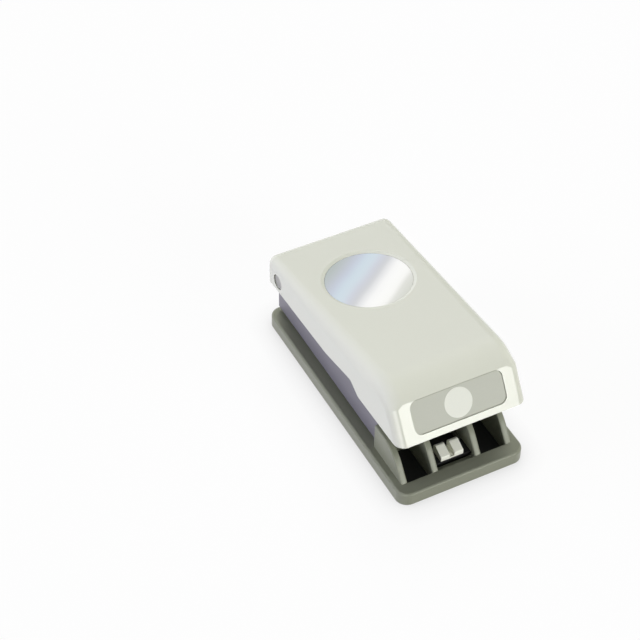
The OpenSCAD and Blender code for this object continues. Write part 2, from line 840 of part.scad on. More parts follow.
// Repeats a piece at the two studs of the lock's button
module at_studs() {
    for (s = [-1, 1]) {
        translate([s * (lobe_gap + lobe_w) / 2, lobe_y + lobe_l / 2, slide_z + 0.6]) children();
    }
}

// Side view of a lobe in Y and Z, sloping up towards the back
module lobe_outline() {
    polygon(rounded([
        [lobe_y, slide_top, 0],
        [lobe_y + lobe_l, slide_top, 0],
        [lobe_y + lobe_l, slide_top + lobe_h, 2],
        [lobe_y, slide_top + lobe_front, 0.9],
    ]));
}

module lock_button() {
    color("#e8ebdd")
    union() {
        for (s = [0, 1]) mirror([s, 0, 0])
            across(lobe_gap / 2, lobe_gap / 2 + lobe_w) lobe_outline();
        block([-lobe_gap / 2 - 0.5, lobe_y, slide_top],
              [lobe_gap / 2 + 0.5, lobe_y + lobe_l - 0.6, slide_top + 0.9]);
        at_studs() cylinder(h = slide_t - 0.3, r = 1);
    }
}

base();
bottom_plate();
bottom_screws();
die_plate();
die_screws();
frame();
frame_screws();
guide_posts();
post_clips();
return_springs();
hinge_pin();
hinge_spacers();
hinge_washers();
lever_cover();
lever_arm();
arm_screws();
presser_pad();
mirror_disc();
label_plate();
label_spot();
pin_caps();
punch_carrier();
cutter();
cutter_screws();
lock_slider();
lock_button();
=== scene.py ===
import json
import math

import bmesh
import bpy
from bpy.props import FloatProperty, FloatVectorProperty, PointerProperty
from mathutils import Matrix, Vector


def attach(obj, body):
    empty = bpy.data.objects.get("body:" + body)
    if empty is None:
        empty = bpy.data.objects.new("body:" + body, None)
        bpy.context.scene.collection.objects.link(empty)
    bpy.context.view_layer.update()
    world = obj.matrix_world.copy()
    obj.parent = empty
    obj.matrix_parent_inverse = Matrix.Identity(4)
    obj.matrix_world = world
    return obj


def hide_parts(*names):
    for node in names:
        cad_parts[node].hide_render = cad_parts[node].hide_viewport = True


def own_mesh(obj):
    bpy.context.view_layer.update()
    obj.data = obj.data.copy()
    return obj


bl_info = {
    "name": "Circle punch dresser",
    "version": (1, 0, 0),
    "blender": (4, 5, 0),
    "location": "View3D > Sidebar > Punch",
    "description": "Dresses the packed model of a lever-action circle punch and sets its stage",
    "category": "Object",
}

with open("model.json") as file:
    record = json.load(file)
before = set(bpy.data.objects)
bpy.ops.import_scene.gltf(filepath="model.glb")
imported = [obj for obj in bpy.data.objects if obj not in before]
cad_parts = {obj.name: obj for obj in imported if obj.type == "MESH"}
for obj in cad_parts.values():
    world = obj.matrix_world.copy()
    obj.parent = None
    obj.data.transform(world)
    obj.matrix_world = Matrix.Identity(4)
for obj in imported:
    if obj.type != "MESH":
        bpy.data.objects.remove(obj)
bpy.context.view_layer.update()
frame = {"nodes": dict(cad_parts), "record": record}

MM = 0.001
# Steps of a full turn on the large radii, close enough to look smooth in a close view
FINE = 96
# Edges that turn more than this are edges of the real piece, not facets of a curve
SHARP = math.radians(28)
# Faces that turn less than this from each other are one flat face
NEARLY_FLAT = math.radians(0.05)
# Height of a recess's cutter, which reaches well past the surface
CUT_PAST = 6 * MM

BODY_OF = {
    node: body
    for body, nodes in frame["record"]["behaviour"]["bodies"].items()
    for node in nodes
}
SLOT_OF = {part["node"]: part["material_slot"] for part in frame["record"]["subparts"]}


def linear(hex_colour):
    """Linear red, green and blue of an sRGB hex value."""
    parts = [int(hex_colour[i:i + 2], 16) / 255 for i in (1, 3, 5)]
    return tuple(p / 12.92 if p <= 0.04045 else ((p + 0.055) / 1.055) ** 2.4 for p in parts)


def length(name, text, value):
    """A size property in metres from a value in millimetres."""
    return FloatProperty(name=name, description=text, default=value * MM, unit="LENGTH", precision=5)


def angle(name, text, value):
    """An angle property from a value in degrees."""
    return FloatProperty(name=name, description=text, default=math.radians(value), unit="ROTATION")


def colour(name, text, value):
    """A colour property from an sRGB hex value."""
    return FloatVectorProperty(name=name, description=text, default=linear(value), subtype="COLOR",
                               size=3, min=0, max=1)


class PunchSizes(bpy.types.PropertyGroup):
    """Sizes of the pieces that are modelled here, all but the film's overhang as in the CAD model."""

    base_h: length("Flange height", "Height of the base's flange", 8)
    pivot_y: length("Hinge place", "Place of the hinge axis along the base", 66.2)
    pivot_z: length("Hinge height", "Height of the hinge axis above the table", 43.1)
    open_angle: angle("Lever tilt", "Tilt of the lever at rest", 7)
    lever_half: length("Lever half width", "Half of the lever's width", 39.6)
    lever_wall: length("Lever wall", "Wall of the lever cover", 2.4)
    lever_top: length("Lever top", "Height of the lever's top above the hinge axis", 11.1)
    lever_back: length("Lever back", "Distance of the lever's back from the hinge axis", 14.6)
    lever_reach: length("Lever reach", "Distance of the lip from the hinge axis", 141.1)
    lip_drop: length("Lip drop", "Depth of the lip below the hinge axis", 18.9)
    face_lean: angle("Front lean", "Lean of the lever's sloped front", 25)
    nose_r: length("Nose radius", "Radius of the nose, which ends in a crease above the label", 24)
    crease: length("Crease", "Distance of the crease from the lip, up the slope", 23.25)
    side_r: length("Side radius", "Radius of the lever's long edges", 9)
    corner_r: length("Front edge radius", "Radius of the sloped front's side edges", 6)
    back_r: length("Back radius", "Radius of the lever's back corners", 5.5)
    skirt_back: length("Skirt", "Depth of the skirt below the hinge axis", 6.4)
    step_f: length("Skirt step", "Distance of the skirt's step from the hinge axis", 91.4)
    cap_r: length("Pin cap radius", "Radius of the caps over the hinge pin", 4.7)
    arm_web: length("Arm web", "Height of the arm's upper face above the hinge axis", 3.9)
    mirror_d: length("Mirror diameter", "Diameter of the mirrored disc", 49.5)
    mirror_f: length("Mirror place", "Distance of the disc's middle from the hinge axis", 36.5)
    mirror_deep: length("Mirror depth", "Depth of the disc's recess", 1.5)
    mirror_rim: length("Mirror rim", "Width of the dished edge round the disc", 1.8)
    mirror_t: length("Mirror thickness", "Thickness of the mirrored disc", 0.7)
    mirror_gap: length("Mirror gap", "Gap between the disc and its recess", 0.3)
    film_over: length("Film overhang", "Width by which the mirrored film overhangs its disc", 0.2)
    label_w: length("Label width", "Width of the label's recess", 56.5)
    label_h: length("Label height", "Height of the label's recess", 19.5)
    label_r: length("Label corners", "Corner radius of the label's recess", 4.5)
    label_up: length("Label place", "Distance of the label's middle from the lip", 13.6)
    label_deep: length("Label depth", "Depth of the label's recess", 1.2)
    label_t: length("Label thickness", "Thickness of the label's film", 0.5)
    spot_d: length("Spot diameter", "Diameter of the round spot on the label", 16.8)
    spot_t: length("Spot thickness", "Thickness of the round spot", 0.2)
    wire_d: length("Spring wire", "Wire diameter of the return springs", 0.9)
    coil_r: length("Spring radius", "Radius of the springs' centre line", 3)
    spring_low: length("Spring foot", "Height of the springs' feet", 15.5)
    spring_high: length("Spring top", "Height of the springs' tops at rest", 30.9)
    press_travel: length("Punch travel", "Travel of the punch", 7.52)
    post_off: length("Post distance", "Distance of the posts from the middle of the cut", 25.2)
    cut_y: length("Cut place", "Place of the cut's middle along the base", 30)


class PunchFinishes(bpy.types.PropertyGroup):
    """Colours of the finishes."""

    cover: colour("Cover", "Cream plastic of the lever cover", "#D1D3C4")
    base: colour("Base", "Olive grey plastic of the base", "#7C7F6D")
    underside: colour("Bottom plate", "Black plastic of the bottom plate", "#121312")
    frame: colour("Frame", "Blue-grey coat of the frame", "#76747B")
    caps: colour("Pin caps", "Grey plastic of the pin caps", "#9A9A93")
    grip: colour("Lock grip", "White plastic of the lock's grip", "#F0F1E3")
    slide: colour("Slides", "Black plastic of the sliding pieces", "#1D1D1F")
    bushes: colour("Bushes", "Natural plastic of the hinge bushes", "#DAD5C3")
    label: colour("Label", "Grey film of the label", "#B9BBAE")
    spot: colour("Spot", "White print on the label", "#DFE1D5")
    floor: colour("Floor", "Plain pale floor", "#A8A8A6")


def sizes():
    """The sizes of this scene."""
    return bpy.context.scene.punch_sizes


def finishes():
    """The colours of this scene."""
    return bpy.context.scene.punch_finishes


# Materials


def add(tree, kind, sets=None, **inputs):
    """Adds a node with its settings, and links or values for its inputs.

    An input is given by its name, with _ for a space, or by _ and its number.
    """
    node = tree.nodes.new(kind)
    for key, value in (sets or {}).items():
        setattr(node, key, value)
    for key, value in inputs.items():
        socket = node.inputs[int(key[1:])] if key[1:].isdigit() else node.inputs[key.replace("_", " ")]
        if isinstance(value, bpy.types.NodeSocket):
            tree.links.new(value, socket)
        else:
            socket.default_value = value
    return node


def start_material(name):
    """A new material with its shader and its place coordinates in metres."""
    material = bpy.data.materials.new(name)
    material.use_nodes = True
    tree = material.node_tree
    tree.nodes.clear()
    shader = add(tree, "ShaderNodeBsdfPrincipled")
    add(tree, "ShaderNodeOutputMaterial", Surface=shader.outputs["BSDF"])
    place = add(tree, "ShaderNodeTexCoord").outputs["Object"]
    return material, tree, shader, place


def shade(rgb, factor):
    """A colour with its brightness changed by a factor."""
    return (*(min(1.0, part * factor) for part in rgb), 1.0)


def moulded_plastic(name, rgb, grain_mm, relief_mm, rough, spread):
    """Injection-moulded plastic: even colour, faint flow marks and the mould's fine eroded grain."""
    material, tree, shader, place = start_material(name)
    # Flow marks some 35 mm long change the colour by a few percent
    flow = add(tree, "ShaderNodeTexNoise", Vector=place, Scale=1 / (35 * MM), Detail=2.0)
    tone = add(tree, "ShaderNodeMix", {"data_type": "RGBA"}, Factor=flow.outputs["Fac"],
               _6=shade(rgb, 1 - spread), _7=shade(rgb, 1 + spread))
    tree.links.new(tone.outputs[2], shader.inputs["Base Color"])
    # Real grain is near 0.1 mm, drawn at about 1 mm so that it shows
    grain = add(tree, "ShaderNodeTexNoise", Vector=place, Scale=1 / (grain_mm * MM), Detail=3.0,
                Roughness=0.6)
    sheen = add(tree, "ShaderNodeMapRange", Value=grain.outputs["Fac"], From_Min=0.3, From_Max=0.7,
                To_Min=rough - 0.05, To_Max=rough + 0.05)
    tree.links.new(sheen.outputs["Result"], shader.inputs["Roughness"])
    bump = add(tree, "ShaderNodeBump", Height=grain.outputs["Fac"], Strength=0.6,
               Distance=relief_mm * MM)
    tree.links.new(bump.outputs["Normal"], shader.inputs["Normal"])
    shader.inputs["IOR"].default_value = 1.52
    return material


def worked_metal(name, hex_colour, line_mm, stretch, rough):
    """Bare metal with the fine lines that rolling, drawing or grinding leaves along one direction."""
    material, tree, shader, place = start_material(name)
    rgb = linear(hex_colour)
    # Real lines are near 0.1 mm apart, drawn wider so that they show
    lines = add(tree, "ShaderNodeMapping", Vector=place, Scale=stretch)
    fine = add(tree, "ShaderNodeTexNoise", Vector=lines.outputs["Vector"], Scale=1 / (line_mm * MM),
               Detail=4.0)
    tone = add(tree, "ShaderNodeMix", {"data_type": "RGBA"}, Factor=fine.outputs["Fac"],
               _6=shade(rgb, 0.82), _7=shade(rgb, 1.12))
    tree.links.new(tone.outputs[2], shader.inputs["Base Color"])
    sheen = add(tree, "ShaderNodeMapRange", Value=fine.outputs["Fac"], From_Min=0.25, From_Max=0.75,
                To_Min=rough - 0.08, To_Max=rough + 0.08)
    tree.links.new(sheen.outputs["Result"], shader.inputs["Roughness"])
    bump = add(tree, "ShaderNodeBump", Height=fine.outputs["Fac"], Strength=0.5, Distance=0.004 * MM)
    tree.links.new(bump.outputs["Normal"], shader.inputs["Normal"])
    shader.inputs["Metallic"].default_value = 1.0
    return material


def zinc_plate(name):
    """Zinc-plated steel with a blue passivation that turns straw-coloured in small patches."""
    material, tree, shader, place = start_material(name)
    patches = add(tree, "ShaderNodeTexNoise", Vector=place, Scale=1 / (2.5 * MM), Detail=2.0)
    tone = add(tree, "ShaderNodeValToRGB", Fac=patches.outputs["Fac"])
    tone.color_ramp.elements[0].position = 0.35
    tone.color_ramp.elements[0].color = (*linear("#AEB6C2"), 1)
    tone.color_ramp.elements[1].position = 0.68
    tone.color_ramp.elements[1].color = (*linear("#C2BFB2"), 1)
    tree.links.new(tone.outputs["Color"], shader.inputs["Base Color"])
    sheen = add(tree, "ShaderNodeMapRange", Value=patches.outputs["Fac"], From_Min=0.3, From_Max=0.7,
                To_Min=0.24, To_Max=0.38)
    tree.links.new(sheen.outputs["Result"], shader.inputs["Roughness"])
    shader.inputs["Metallic"].default_value = 1.0
    return material


def stoved_coat(name, rgb):
    """Stoved paint on a zinc casting: satin, with the low waves that paint sets in."""
    material, tree, shader, place = start_material(name)
    cloud = add(tree, "ShaderNodeTexNoise", Vector=place, Scale=1 / (18 * MM), Detail=3.0)
    tone = add(tree, "ShaderNodeMix", {"data_type": "RGBA"}, Factor=cloud.outputs["Fac"],
               _6=shade(rgb, 0.93), _7=shade(rgb, 1.07))
    tree.links.new(tone.outputs[2], shader.inputs["Base Color"])
    # Real waves are near 1 mm, drawn at 1.6 mm so that they show from a step away
    waves = add(tree, "ShaderNodeTexNoise", Vector=place, Scale=1 / (1.6 * MM), Detail=1.0)
    bump = add(tree, "ShaderNodeBump", Height=waves.outputs["Fac"], Strength=0.5, Distance=0.03 * MM)
    tree.links.new(bump.outputs["Normal"], shader.inputs["Normal"])
    shader.inputs["Roughness"].default_value = 0.42
    shader.inputs["Metallic"].default_value = 0.25
    return material


def mirrored_film(name):
    """Vacuum-metallised film: a bright mirror with soft pale blue and white bands of painted reflection
    in its colour.
    """
    material, tree, shader, place = start_material(name)
    s = sizes()
    # Distance across the painted reflection bands, which run at a slant from the left front to the
    # right back
    slant = Vector((0.6, -0.8, 0.0))
    across = add(tree, "ShaderNodeVectorMath", {"operation": "DOT_PRODUCT"}, _0=place, _1=slant)
    # The painted reflection bands wander by up to 3 mm
    wander = add(tree, "ShaderNodeTexNoise", Vector=place, Scale=1 / (28 * MM), Detail=1.0)
    soft = add(tree, "ShaderNodeMath", {"operation": "MULTIPLY_ADD"}, _0=wander.outputs["Fac"],
               _1=3 * MM, _2=across.outputs["Value"])
    middle = lever_place() @ Vector((0, -s.mirror_f, s.lever_top))
    start = middle.dot(slant) + 1.5 * MM
    half_span = 26 * MM
    share = add(tree, "ShaderNodeMapRange", Value=soft.outputs["Value"], From_Min=start - half_span,
                From_Max=start + half_span)
    tone = add(tree, "ShaderNodeValToRGB", Fac=share.outputs["Result"])
    ramp = tone.color_ramp
    ramp.interpolation = "B_SPLINE"
    # Painted reflection, from dull silver at the left, through pale blue and grey, to a painted white
    # highlight streak and silver again
    painted_reflection_bands = [
        (0.0, "#B4BDB9"), (0.12, "#BEC4C6"), (0.22, "#C6CBDA"), (0.31, "#CFDDE6"),
        (0.4, "#D2DEE6"), (0.46, "#D0D3DE"), (0.53, "#CED0D3"), (0.58, "#DFE0E2"),
        (0.66, "#FBFBFA"), (0.82, "#FDFDFA"), (0.88, "#DEDFD9"), (1.0, "#D6D8CF"),
    ]
    while len(ramp.elements) < len(painted_reflection_bands):
        ramp.elements.new(0.5)
    for element, (position, value) in zip(ramp.elements, painted_reflection_bands):
        element.position = position
        element.color = (*linear(value), 1)
    # The painted reflection goes into the mirror's base colour
    tree.links.new(tone.outputs["Color"], shader.inputs["Base Color"])
    shader.inputs["Metallic"].default_value = 1.0
    shader.inputs["Roughness"].default_value = 0.1
    return material


def printed_film(name, rgb, rough):
    """Smooth printed film under a satin varnish, with a print grain that is just visible."""
    material, tree, shader, place = start_material(name)
    # The screen print's dots are near 0.2 mm, drawn at 0.9 mm so that they show
    dots = add(tree, "ShaderNodeTexNoise", Vector=place, Scale=1 / (0.9 * MM), Detail=2.0)
    tone = add(tree, "ShaderNodeMix", {"data_type": "RGBA"}, Factor=dots.outputs["Fac"],
               _6=shade(rgb, 0.98), _7=shade(rgb, 1.02))
    tree.links.new(tone.outputs[2], shader.inputs["Base Color"])
    sheen = add(tree, "ShaderNodeMapRange", Value=dots.outputs["Fac"], From_Min=0.3, From_Max=0.7,
                To_Min=rough - 0.03, To_Max=rough + 0.03)
    tree.links.new(sheen.outputs["Result"], shader.inputs["Roughness"])
    shader.inputs["IOR"].default_value = 1.5
    return material


def make_finish(slot):
    """The material of one of the record's slots."""
    f = finishes()
    # Name, colour, grain and relief in millimetres, roughness, and how far the colour wanders
    plastics = {
        "olive_abs": ("moulded_olive_abs", f.base, 1.1, 0.012, 0.36, 0.05),
        "black_abs": ("moulded_black_abs", f.underside, 1.3, 0.03, 0.55, 0.1),
        "cream_abs": ("moulded_cream_abs", f.cover, 1.0, 0.005, 0.21, 0.012),
        "grey_abs": ("moulded_grey_abs", f.caps, 1.0, 0.012, 0.45, 0.03),
        "white_acetal": ("moulded_white_acetal", f.grip, 1.4, 0.01, 0.34, 0.03),
        "black_acetal": ("moulded_black_acetal", f.slide, 1.2, 0.012, 0.38, 0.1),
        "natural_nylon": ("turned_natural_nylon", f.bushes, 1.2, 0.015, 0.48, 0.03),
    }
    # Name, colour, line spacing in millimetres, stretch along X, Y and Z, and roughness
    metals = {
        "hardened_steel": ("ground_tool_steel", "#9DA1A6", 0.7, (0.05, 1, 1), 0.3),
        "ground_steel": ("ground_steel_rod", "#B4B7BB", 0.5, (1, 1, 1), 0.22),
        "spring_steel": ("drawn_spring_steel", "#7F8186", 0.6, (1, 1, 1), 0.32),
        "folded_steel": ("rolled_plated_sheet", "#A4A7AB", 0.8, (1, 0.06, 1), 0.34),
    }
    # Name, colour and roughness
    films = {
        "grey_label": ("printed_grey_film", f.label, 0.55),
        "white_label": ("printed_white_film", f.spot, 0.52),
    }
    if slot in plastics:
        return moulded_plastic(*plastics[slot])
    if slot in metals:
        return worked_metal(*metals[slot])
    if slot in films:
        return printed_film(*films[slot])
    if slot == "cast_frame":
        return stoved_coat("stoved_zinc_casting", f.frame)
    if slot == "zinc_plated_steel":
        return zinc_plate("zinc_plated_steel")
    if slot == "mirror_film":
        # The mirror's material carries painted reflection bands in its colour
        return mirrored_film("metallised_film_painted_reflection")
    raise ValueError(f"no finish is written for the slot {slot}")


FINISHES = {}


def finish(slot):
    """The material of a slot, made once."""
    if slot not in FINISHES:
        FINISHES[slot] = make_finish(slot)
    return FINISHES[slot]


# Shapes


def lever_place():
    """Turns the lever's own frame, hinge axis at the origin and top level, into its place at rest."""
    s = sizes()
    return Matrix.Translation((0, s.pivot_y, s.pivot_z)) @ Matrix.Rotation(-s.open_angle, 4, "X")


def front_place():
    """Turns a frame on the sloped front, Y up the slope and Z outwards, into the lever's own frame."""
    s = sizes()
    foot = Matrix.Translation((0, -s.lever_reach, -s.lip_drop))
    return foot @ Matrix.Rotation(math.radians(90) - s.face_lean, 4, "X")


def label_place():
    """Turns a frame about the label's middle into the lever's own frame."""
    return front_place() @ Matrix.Translation((0, sizes().label_up, 0))


# Turns an outline drawn in X and Y, with its depth in Z, into one in Y and Z with its depth in X
SIDEWAYS = Matrix(((0, 0, 1, 0), (1, 0, 0, 0), (0, 1, 0, 0), (0, 0, 0, 1)))
# Stands a flat circle upright, facing along Y
UPRIGHT = Matrix.Rotation(math.radians(90), 4, "X")


def edges_of(parts):
    """The edges in a list of a mesh's parts."""
    return [part for part in parts if isinstance(part, bmesh.types.BMEdge)]


def outline(corners, steps=12):
    """A flat face in X and Y from corners of x, y and a radius."""
    bm = bmesh.new()
    verts = [bm.verts.new((x, y, 0)) for x, y, _ in corners]
    bm.faces.new(verts)
    for vert, (_, _, radius) in zip(verts, corners):
        if radius <= 0:
            continue
        one, two = ((edge.other_vert(vert).co - vert.co) for edge in vert.link_edges)
        reach = radius / math.tan(one.angle(two) / 2)
        bmesh.ops.bevel(bm, geom=[vert], offset=reach, offset_type="OFFSET", segments=steps,
                        profile=0.5, affect="VERTICES", clamp_overlap=False, material=-1)
    return bm


def thicken(bm, depth):
    """Extrudes flat faces along Z and closes them into a solid."""
    grown = bmesh.ops.extrude_face_region(bm, geom=bm.faces[:], use_keep_orig=True)
    moved = [part for part in grown["geom"] if isinstance(part, bmesh.types.BMVert)]
    bmesh.ops.translate(bm, verts=moved, vec=(0, 0, depth))
    bmesh.ops.recalc_face_normals(bm, faces=bm.faces[:])
    return bm


def round_rect(width, height, radius):
    """A flat rectangle with round corners, about the origin."""
    x, y = width / 2, height / 2
    return outline([(-x, -y, radius), (x, -y, radius), (x, y, radius), (-x, y, radius)])


def disc(radius, depth, place):
    """A round solid that starts at a place and runs along its Z."""
    bm = bmesh.new()
    bmesh.ops.create_cone(bm, cap_ends=True, segments=FINE, radius1=radius, radius2=radius, depth=depth,
                          matrix=place @ Matrix.Translation((0, 0, depth / 2)))
    return bm


def soften(bm, radius, above=None, steps=3):
    """Rounds a piece's real edges as moulding and tumbling do, or only those above a height."""
    edges = [edge for edge in bm.edges if len(edge.link_faces) == 2 and edge.calc_face_angle(0) > SHARP]
    if above is not None:
        edges = [edge for edge in edges if sum(vert.co.z for vert in edge.verts) / 2 > above]
    bmesh.ops.bevel(bm, geom=edges, offset=radius, offset_type="OFFSET", segments=steps, profile=0.5,
                    affect="EDGES", clamp_overlap=True, material=-1)
    bmesh.ops.dissolve_degenerate(bm, dist=1e-7, edges=bm.edges[:])
    return bm


def solid(bm, name):
    """An object from a bmesh, which is used up."""
    mesh = bpy.data.meshes.new(name)
    bm.to_mesh(mesh)
    bm.free()
    piece = bpy.data.objects.new(name, mesh)
    bpy.context.scene.collection.objects.link(piece)
    return piece


def carve(piece, tool, operation):
    """Cuts a solid from a piece, or joins it on, and removes the solid."""
    helper = solid(tool, piece.name + "_tool")
    cut = piece.modifiers.new("carve", "BOOLEAN")
    cut.operation = operation
    cut.solver = "EXACT"
    cut.object = helper
    graph = bpy.context.evaluated_depsgraph_get()
    made = bpy.data.meshes.new_from_object(piece.evaluated_get(graph))
    old = piece.data
    piece.modifiers.clear()
    piece.data = made
    bpy.data.meshes.remove(old)
    bpy.data.objects.remove(helper)


def dress(piece, *nodes, sharp=35):
    """Smooths a piece and gives it the finish and body of the CAD nodes that it stands for.

    Those nodes are hidden. Edges that turn by more than the sharp angle, in degrees, stay sharp.
    """
    mesh = piece.data
    mesh.materials.clear()
    mesh.materials.append(finish(SLOT_OF[nodes[0]]))
    mesh.polygons.foreach_set("material_index", [0] * len(mesh.polygons))
    mesh.polygons.foreach_set("use_smooth", [True] * len(mesh.polygons))
    mesh.set_sharp_from_angle(angle=math.radians(sharp))
    weights = piece.modifiers.new("flat faces stay flat", "WEIGHTED_NORMAL")
    weights.keep_sharp = True
    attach(piece, BODY_OF[nodes[0]])
    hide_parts(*nodes)


def merged(node):
    """A copy of a CAD node whose loose triangles are joined into whole faces."""
    bm = bmesh.new()
    bm.from_mesh(frame["nodes"][node].data)
    bmesh.ops.remove_doubles(bm, verts=bm.verts[:], dist=1e-6)
    bmesh.ops.dissolve_limit(bm, angle_limit=math.radians(0.2), verts=bm.verts[:], edges=bm.edges[:])
    return bm


def dress_copy(node, name, radius):
    """Replaces a CAD node by a copy whose edges are softened by a radius in millimetres."""
    dress(solid(soften(merged(node), radius * MM), name), node)


def lever_block(inset):
    """The lever's block as the hull of its round corners, shrunk by an inset."""
    s = sizes()
    bm = bmesh.new()
    low = -s.lip_drop - 4 * MM
    high = s.lever_top - s.back_r
    nose_z = s.lever_top - s.nose_r
    # The nose passes through the crease, where the flat front cuts it
    crease = front_place() @ Vector((0, s.crease, 0))
    nose_f = -crease.y - math.sqrt(s.nose_r ** 2 - (crease.z - nose_z) ** 2)
    for side in (-1, 1):
        back_x = side * (s.lever_half - s.back_r)
        front_x = side * (s.lever_half - s.side_r)
        for z in (low, high):
            # The back wall stands upright while the lever is tilted at rest
            y = (s.lever_back - s.back_r - z * math.sin(s.open_angle)) / math.cos(s.open_angle)
            at = Matrix.Translation((back_x, y, z))
            if z == low:
                bmesh.ops.create_circle(bm, segments=FINE, radius=s.back_r - inset, matrix=at)
            else:
                bmesh.ops.create_uvsphere(bm, u_segments=FINE, v_segments=FINE // 2,
                                          radius=s.back_r - inset, matrix=at)
        # Round edges of the sloped front, from below the lip to just under the crease
        edge_x = side * (s.lever_half - s.corner_r)
        for up in (-6 * MM, s.crease - 1.5 * MM):
            edge = front_place() @ Matrix.Translation((edge_x, up, -s.corner_r))
            bmesh.ops.create_circle(bm, segments=FINE, radius=s.corner_r - inset, matrix=edge @ UPRIGHT)
        # The nose is a round edge that turns about the nose's axis
        at = Matrix.Translation((front_x, -nose_f, nose_z + s.nose_r - s.side_r))
        ring = bmesh.ops.create_circle(bm, segments=FINE, radius=s.side_r - inset,
                                       matrix=at @ UPRIGHT)["verts"]
        edges = list({edge for vert in ring for edge in vert.link_edges})
        bmesh.ops.spin(bm, geom=ring + edges, cent=(front_x, -nose_f, nose_z), axis=(1, 0, 0),
                       angle=2 * math.pi, steps=2 * FINE, use_merge=True)
    bmesh.ops.delete(bm, geom=bm.edges[:], context="EDGES_FACES")
    hull = bmesh.ops.convex_hull(bm, input=bm.verts[:])
    inside = {part for key in ("geom_interior", "geom_unused") for part in hull[key]
              if isinstance(part, bmesh.types.BMVert)}
    bmesh.ops.delete(bm, geom=list(inside), context="VERTS")
    # The sloped front is flat
    front = front_place() @ Matrix.Translation((0, 0, -inset))
    whole = bm.verts[:] + bm.edges[:] + bm.faces[:]
    cut = bmesh.ops.bisect_plane(bm, geom=whole, dist=1e-7, plane_co=front.translation,
                                 plane_no=front.col[2].xyz, clear_outer=True)["geom_cut"]
    bmesh.ops.contextual_create(bm, geom=edges_of(cut))
    bmesh.ops.dissolve_limit(bm, angle_limit=NEARLY_FLAT, verts=bm.verts[:], edges=bm.edges[:])
    bmesh.ops.recalc_face_normals(bm, faces=bm.faces[:])
    return bm


def below_skirt():
    """The space below the lever's skirt, in the lever's own frame."""
    s = sizes()
    # The space reaches well past the lever on all sides
    low = -s.lip_drop - 40 * MM
    front = -s.lever_reach - 22 * MM
    back = s.lever_back + 20 * MM
    corners = [
        (front, low, 0),
        (front, -s.lip_drop, 0),
        # The lip, and a gentle rise from it to the step
        (4 * MM - s.lever_reach, -s.lip_drop, 20 * MM),
        (-s.step_f - 4 * MM, 3.8 * MM - s.lip_drop, 4 * MM),
        (-s.step_f + 4 * MM, -9 * MM, 4 * MM),
        # The long skirt, which curves up towards the hinge
        (-58 * MM, -11 * MM, 30 * MM),
        (0, -s.skirt_back - 0.4 * MM, 30 * MM),
        (s.lever_back, -s.skirt_back, 0),
        (back, -s.skirt_back, 0),
        (back, low, 0),
    ]
    wide = s.lever_half + 1 * MM
    bm = thicken(outline(corners), 2 * wide)
    bm.transform(Matrix.Translation((-wide, 0, 0)) @ SIDEWAYS)
    bmesh.ops.recalc_face_normals(bm, faces=bm.faces[:])
    return bm


class PUNCH_OT_lever_cover(bpy.types.Operator):
    """Moulds the cream cover of the lever"""

    bl_idname = "punch.lever_cover"
    bl_label = "Lever cover"

    def execute(self, context):
        cover = solid(lever_block(0), "lever_shell")
        carve(cover, lever_block(sizes().lever_wall), "DIFFERENCE")
        self.add_bosses(cover)
        carve(cover, below_skirt(), "DIFFERENCE")
        self.sink_mirror(cover)
        self.sink_label(cover)
        self.drill_caps(cover)
        bm = bmesh.new()
        bm.from_mesh(cover.data)
        bmesh.ops.remove_doubles(bm, verts=bm.verts[:], dist=1e-6)
        bmesh.ops.dissolve_limit(bm, angle_limit=NEARLY_FLAT, verts=bm.verts[:], edges=bm.edges[:])
        soften(bm, 0.45 * MM, steps=5)
        bm.transform(lever_place())
        bm.to_mesh(cover.data)
        bm.free()
        # The dished edge turns by 24 degrees and shows as a ring
        dress(cover, "lever_cover", sharp=20)
        return {"FINISHED"}

    def add_bosses(self, cover):
        """Bosses below the top, which the arm's screws go into."""
        s = sizes()
        radius = 3.6 * MM
        height = s.lever_top - s.arm_web - 0.5 * MM
        aside = 10 * MM
        for x in (-aside, aside):
            for forward in (15 * MM, 105.1 * MM):
                boss = disc(radius, height, Matrix.Translation((x, -forward, s.arm_web)))
                carve(cover, boss, "UNION")

    def sink_mirror(self, cover):
        """The disc's round recess, with a dished edge round it."""
        s = sizes()
        inner = s.mirror_d / 2 + s.mirror_gap
        recess = Matrix.Translation((0, -s.mirror_f, s.lever_top - s.mirror_deep))
        carve(cover, disc(inner, CUT_PAST, recess), "DIFFERENCE")
        # The dished edge, drawn to twice its height so that it cuts through the top
        rise = s.mirror_deep - s.mirror_t
        dish = bmesh.new()
        bmesh.ops.create_cone(dish, cap_ends=True, segments=FINE, radius1=inner,
                              radius2=inner + 2 * s.mirror_rim, depth=2 * rise,
                              matrix=recess @ Matrix.Translation((0, 0, s.mirror_t + rise)))
        carve(cover, dish, "DIFFERENCE")

    def sink_label(self, cover):
        """The label's recess in the sloped front."""
        s = sizes()
        label = thicken(round_rect(s.label_w, s.label_h, s.label_r), CUT_PAST)
        label.transform(label_place() @ Matrix.Translation((0, 0, -s.label_deep)))
        carve(cover, label, "DIFFERENCE")

    def drill_caps(self, cover):
        """One hole through both sides for the pin's caps."""
        s = sizes()
        start = s.lever_half + 1 * MM
        place = Matrix.Translation((-start, 0, 0)) @ Matrix.Rotation(math.radians(90), 4, "Y")
        carve(cover, disc(s.cap_r + 0.05 * MM, 2 * start, place), "DIFFERENCE")


class PUNCH_OT_mirror(bpy.types.Operator):
    """Cuts the mirrored disc, with its edge turned down"""

    bl_idname = "punch.mirror"
    bl_label = "Mirrored disc"

    def execute(self, context):
        s = sizes()
        place = lever_place() @ Matrix.Translation((0, -s.mirror_f, s.lever_top - s.mirror_deep))
        # The film's overhang hides most of the gap round the disc
        bm = soften(disc(s.mirror_d / 2 + s.film_over, s.mirror_t, place), 0.12 * MM)
        dress(solid(bm, "disc_mirror"), "mirror_disc")
        return {"FINISHED"}


